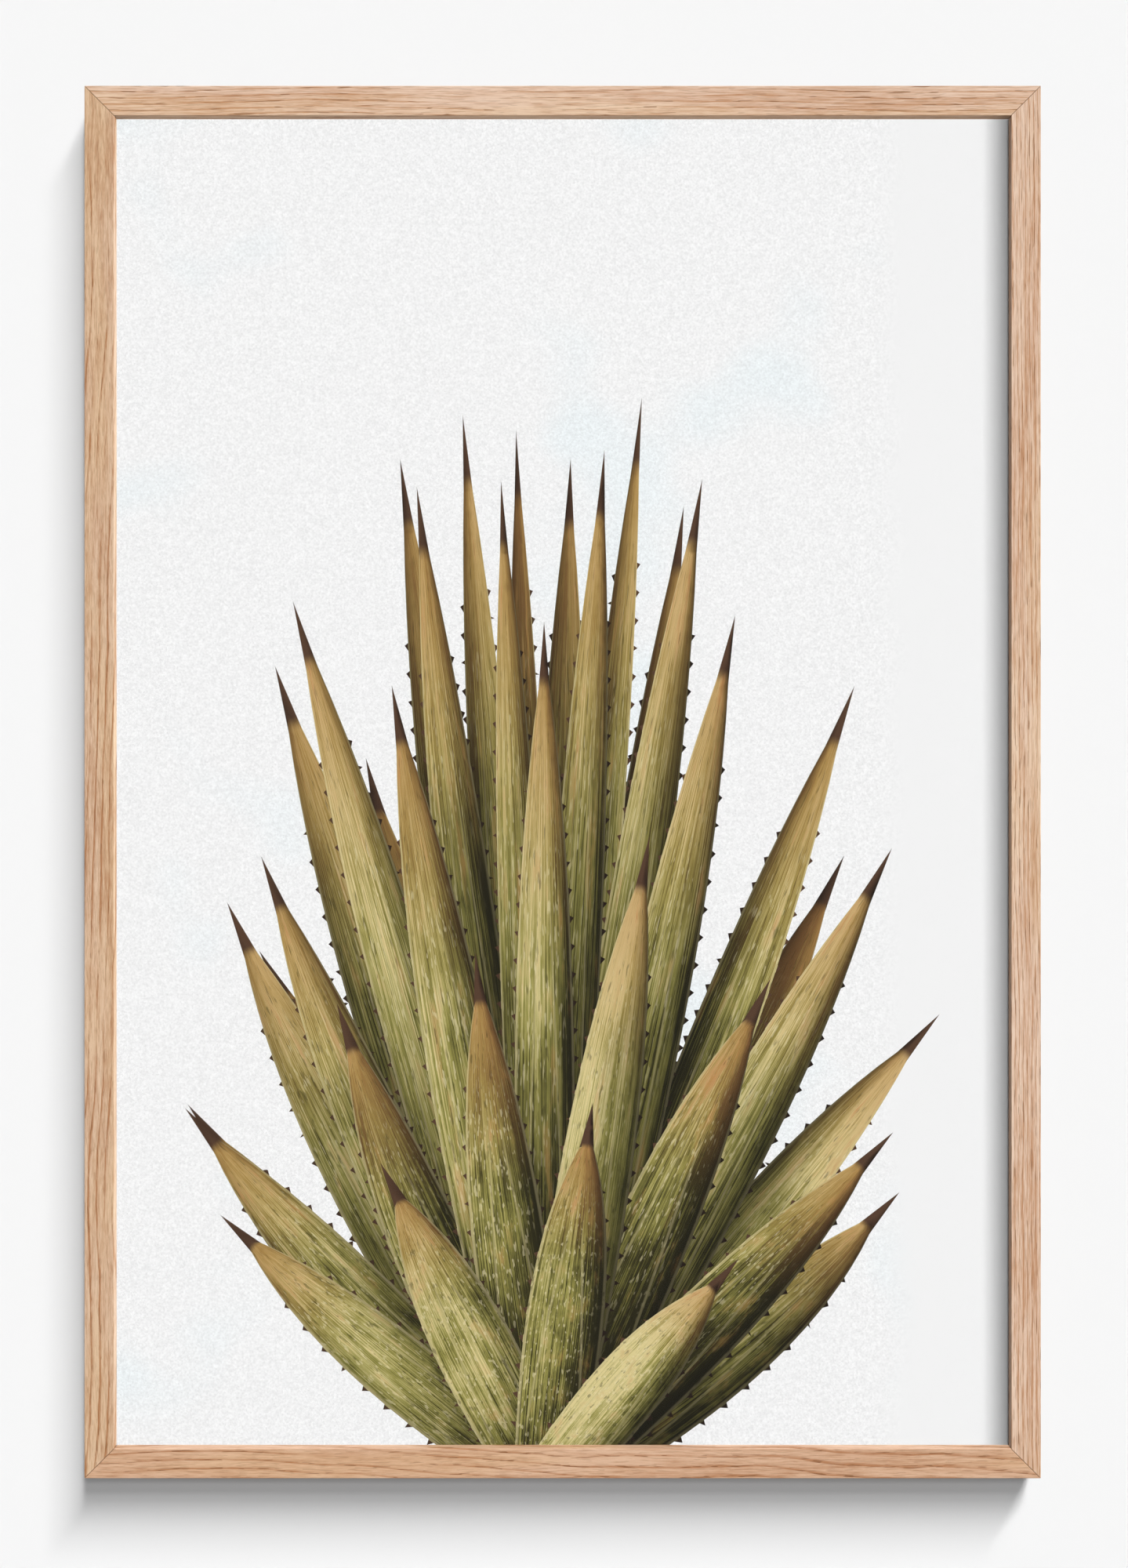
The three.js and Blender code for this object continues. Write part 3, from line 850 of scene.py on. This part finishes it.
def rivet():  # a domed head, a shank and a thin tail, about a line into the wall
    bm = bmesh.new()
    shape = rivetShape
    dome = [(shape["head"] * math.sin(part), shape["seat"] - shape["rise"] * math.cos(part))
            for part in quarterTurn(shape["domeSteps"])]
    tail, foot = shape["tail"], shape["tailSeat"]
    top = foot + shape["tailThick"]
    turned(bm, dome + [(shape["shank"], shape["seat"]), (shape["shank"], foot),
                       (tail * shape["tailFoot"], foot), (tail, foot + shape["tailEdge"]),
                       (tail * shape["tailTop"], top), (0, top)])
    bmesh.ops.rotate(bm, verts=bm.verts, cent=(0, 0, 0),
                     matrix=Matrix.Rotation(math.pi / 2, 3, "X"))
    return bm


def screw(seat):  # a pan head below the hanger, with a cross cut in it
    bm = bmesh.new()
    shape = screwShape
    head, shank, face = shape["head"], shape["shank"], seat - shape["rise"]
    profile = [(head * share, face + rise) for share, rise in shape["dome"]]
    profile += [(head, seat - shape["seatEdge"]), (head - shape["seatEdge"], seat), (shank, seat)]
    for i in range(shape["turns"]):
        start = seat + (shape["plain"] + i) * shape["thread"]
        profile += [(shank * shape["root"], start), (shank, start + shape["thread"] / 2)]
    turned(bm, profile + [(0, seat + shape["reach"])])
    long, slot = shape["recess"], shape["slot"]
    arm = [(slot, slot), (long, slot), (long, -slot)]
    cross = []
    for i in range(4):
        quarter = Matrix.Rotation(-math.pi / 2 * i, 2)
        cross += [quarter @ Vector(corner) for corner in arm]
    verts = [bm.verts.new((x, y, face)) for x, y in cross]
    edges = [bm.edges.new((verts[i - 1], vert)) for i, vert in enumerate(verts)]
    rim = [edge for edge in bm.edges if edge.is_boundary and edge not in edges]
    bmesh.ops.triangle_fill(bm, use_beauty=True, edges=rim + edges)
    sunk = bmesh.ops.extrude_edge_only(bm, edges=edges)["geom"]
    low = only(sunk, BMVert)
    bmesh.ops.translate(bm, verts=low, vec=(0, 0, shape["recessDepth"]))
    bmesh.ops.scale(bm, verts=low, vec=(shape["taper"], shape["taper"], 1))
    bmesh.ops.contextual_create(bm, geom=only(sunk, BMEdge, low))
    return bm


def cornerNails():  # two chevrons pressed into the back of each corner
    bm = bmesh.new()
    leg, thick = nailShape["leg"], nailShape["thick"]
    end = (leg - thick, leg + thick * nailShape["slope"])
    outline = [(0, 0), (leg, leg), end, (0, thick * nailShape["crown"]), (-end[0], end[1]),
               (-leg, leg)]
    for right, up in ((1, 1), (-1, 1), (-1, -1), (1, -1)):
        across = Vector((right, 0, up)).normalized()
        along = Vector((-across.z, 0, across.x))
        for place in nailShape["places"]:
            corner = Vector((right * (outerHalfWidth - place), nailShape["proud"],
                             centreZ + up * (outerHalfHeight - place)))
            verts = [bm.verts.new(corner + along * x - across * (z - leg / 2)) for x, z in outline]
            pull(bm, [bm.faces.new(verts)], nailShape["deep"])
    return meshFrom(bm, "corner_nails")


def addSteel(node, bm, turn, body):  # the finished steel piece in place of a node
    name = node + "_steel"
    addPiece(name, meshFrom(bm, name, turn), zinc, body, [node],
             sharp=steelEdges["sharp"])


def makeClips():
    fold = -clipShape["thick"] - clipShape["tail"]  # the lug is as thick as the clip
    for side, ends in {"rail_top": ("left", "right"), "rail_right": ("upper", "lower"),
                       "rail_bottom": ("right", "left"), "rail_left": ("lower", "upper")}.items():
        quarter = Matrix.Rotation(math.radians(railSides[side][0]), 4, "Y")
        for end in ends:
            label = side.replace("rail_", "") + "_" + end
            low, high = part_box("rivet_" + label)
            middle = Vector(((low[0] + high[0]) / 2, 0, (low[2] + high[2]) / 2))
            turn = Matrix.Translation(middle) @ quarter
            clip = foldedPlate(clipShape, clipOutline(), clipShape["lug"], fold, False)
            addSteel("clip_" + label, clip, turn, "clip_" + label)
            addSteel("rivet_" + label, rivet(), turn, "frame")


def makeHangers():
    for end in ("left", "right"):
        low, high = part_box("hanger_" + end)
        angle = foldedPlate(hangerShape, hangerOutline(high[2]), hangerShape["leg"],
                            high[2] - hangerShape["thick"], True)
        addSteel("hanger_" + end, angle, Matrix.Translation(((low[0] + high[0]) / 2, 0, 0)), "frame")
        for place in ("outer", "inner"):
            node = f"screw_{end}_{place}"
            low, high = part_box(node)
            at = Matrix.Translation(((low[0] + high[0]) / 2, (low[1] + high[1]) / 2, 0))
            addSteel(node, screw(low[2] + screwShape["rise"]), at, "frame")


makeClips()
makeHangers()
addPiece("corner_nails", cornerNails(), zinc, "frame")
print("hardware made")


# the stage: a white wall that only shows from the room, and a pale floor far below

stageLook = {"paint": (0.9, 0.9, 0.9, 1), "paintRough": 0.9, "gap": 0.5 * mm,
             "floor": (0.56, 0.56, 0.555, 1), "floorRough": 0.8, "drop": 0.7, "size": 6}


def stagePlane(name, finish, turn):
    bm = bmesh.new()
    bmesh.ops.create_grid(bm, x_segments=1, y_segments=1, size=stageLook["size"])
    bmesh.ops.transform(bm, matrix=turn, verts=bm.verts)
    mesh = bpy.data.meshes.new(name)
    bm.to_mesh(mesh)
    bm.free()
    mesh.materials.append(finish.material)
    piece = bpy.data.objects.new(name, mesh)
    bpy.context.scene.collection.objects.link(piece)
    for way in ("diffuse", "glossy", "transmission"):
        setattr(piece, "visible_" + way, False)
    return piece


def makeStage():
    wall = Finish("wall_paint")
    wall.set(Base_Color=stageLook["paint"], Roughness=stageLook["paintRough"],
             Specular_IOR_Level=0.0)
    behind = wall.node("ShaderNodeNewGeometry", {}, {}, "Backfacing")
    through = wall.tree.nodes.new("ShaderNodeBsdfTransparent")
    blend = wall.tree.nodes.new("ShaderNodeMixShader")
    wall.feed(blend.inputs[0], behind)
    wall.tree.links.new(wall.shader.outputs[0], blend.inputs[1])
    wall.tree.links.new(through.outputs[0], blend.inputs[2])
    wall.tree.links.new(blend.outputs[0], wall.output.inputs[0])
    floor = Finish("floor_paint")
    floor.set(Base_Color=stageLook["floor"], Roughness=stageLook["floorRough"])
    floorZ = outerBottom - stageLook["drop"]
    standing = (Matrix.Translation((0, stageLook["gap"], floorZ + stageLook["size"]))
                @ Matrix.Rotation(math.pi / 2, 4, "X"))
    wallPiece = stagePlane("wall", wall, standing)
    wallPiece.visible_shadow = False
    return wallPiece, stagePlane("floor", floor, Matrix.Translation((0, 0, floorZ)))


wallPiece, floorPiece = makeStage()


# lights: distant lamps, each given by how far it leans right and up for each unit forwards

lampLook = {
    "full": 3.246, "turn": 6.0, "front": 0.18, "each": 0.0975,
    "leans": ((0.2, 0.36), (0.2, 0.61), (0.2, 0.79), (0.22, 0.94), (0.31, 1.09), (0.46, 1.27),
              (0.65, 1.51), (0.93, 1.87)),
    "railLamps": ((0, 0, 0.40), (4, 0, 0.21), (0, 4, 0.19), (0, -3, 0.14), (-2, 0, 0.06)),
    "pictureGain": 0.984, "pictureFront": 0.21, "pictureEach": 0.094, "pictureReach": 1.41,
    "pictureUp": 0.02, "rear": 0.54, "rearRight": 0.45, "rearUp": 0.35,
}


def addLamp(name, right, up, share, receivers, blockers=(), forwards=1.0):
    direction = Vector((right, -forwards, up)).normalized()
    data = bpy.data.lights.new(name, "SUN")
    data.energy = lampLook["full"] * share / abs(direction.y)
    data.angle = math.radians(lampLook["turn"])
    lamp = bpy.data.objects.new(name, data)
    lamp.rotation_euler = direction.to_track_quat("Z", "Y").to_euler()
    bpy.context.scene.collection.objects.link(lamp)
    for role, pieces in (("receiver", receivers), ("blocker", blockers)):
        if pieces:
            group = bpy.data.collections.new(f"{name}_{role}")
            for piece in pieces:
                group.objects.link(piece)
            setattr(lamp.light_linking, role + "_collection", group)


def makeLamps():
    look = lampLook
    gain, leans = look["pictureGain"], look["leans"]
    shading = [rails[1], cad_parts["glazing"]]  # only the right rail shades the picture
    addLamp("front_wall", 0, 0, look["front"], [wallPiece, floorPiece])
    addLamp("front_picture", 0, 0, gain * look["pictureFront"], [picture], shading)
    for i, (right, up) in enumerate(leans):
        addLamp(f"key_wall_{i}", right, up, look["each"], [wallPiece, floorPiece])
        lean = look["pictureReach"] * (i + 0.5) / len(leans)
        addLamp(f"key_picture_{i}", lean, look["pictureUp"], gain * look["pictureEach"],
                [picture], shading)
    for i, (right, up, share) in enumerate(look["railLamps"]):
        addLamp(f"rail_lamp_{i}", right, up, share, rails)
    for side in (-1, 1):
        addLamp(f"rear_{side}", side * look["rearRight"], look["rearUp"], look["rear"], [],
                forwards=-1.0)


makeLamps()


# the room: bright to the eye and paler in reflections, with little light of its own

roomLook = {"colour": (0.9, 0.9, 0.9, 1), "own": 0.05, "seen": 0.95, "mirrored": 0.14}


def makeRoom():
    world = bpy.data.worlds.new("room")
    bpy.context.scene.world = world
    world.use_nodes = True
    tree = world.node_tree
    rays = tree.nodes.new("ShaderNodeLightPath")
    background = tree.nodes["Background"]
    background.inputs[0].default_value = roomLook["colour"]
    total = None
    for ray, strength in (("Is Camera Ray", roomLook["seen"]), ("Is Glossy Ray", roomLook["mirrored"])):
        part = tree.nodes.new("ShaderNodeMath")
        part.operation = "MULTIPLY_ADD"
        tree.links.new(rays.outputs[ray], part.inputs[0])
        part.inputs[1].default_value = strength
        part.inputs[2].default_value = roomLook["own"]
        if total is not None:
            tree.links.new(total, part.inputs[2])
        total = part.outputs[0]
    tree.links.new(total, background.inputs[1])


makeRoom()


# camera: straight on, the photograph's frame is 1439 by 2000

cameraLook = {"away": 1.7, "frameHeight": 2000, "perPixel": 0.5286 * mm,
              "offRight": 1.75, "offDown": 2.5}


def addCamera():
    data = bpy.data.cameras.new("camera")
    data.sensor_fit = "AUTO"
    height = cameraLook["frameHeight"] * cameraLook["perPixel"]
    data.lens = data.sensor_width * cameraLook["away"] / height
    camera = bpy.data.objects.new("camera", data)
    camera.location = (cameraLook["offRight"] * cameraLook["perPixel"],
                       -railDepth - cameraLook["away"],
                       centreZ - cameraLook["offDown"] * cameraLook["perPixel"])
    camera.rotation_euler = (math.pi / 2, 0, 0)
    bpy.context.scene.collection.objects.link(camera)
    bpy.context.scene.camera = camera


addCamera()
bpy.context.scene.view_settings.view_transform = "Standard"
bpy.context.scene.view_settings.look = "None"
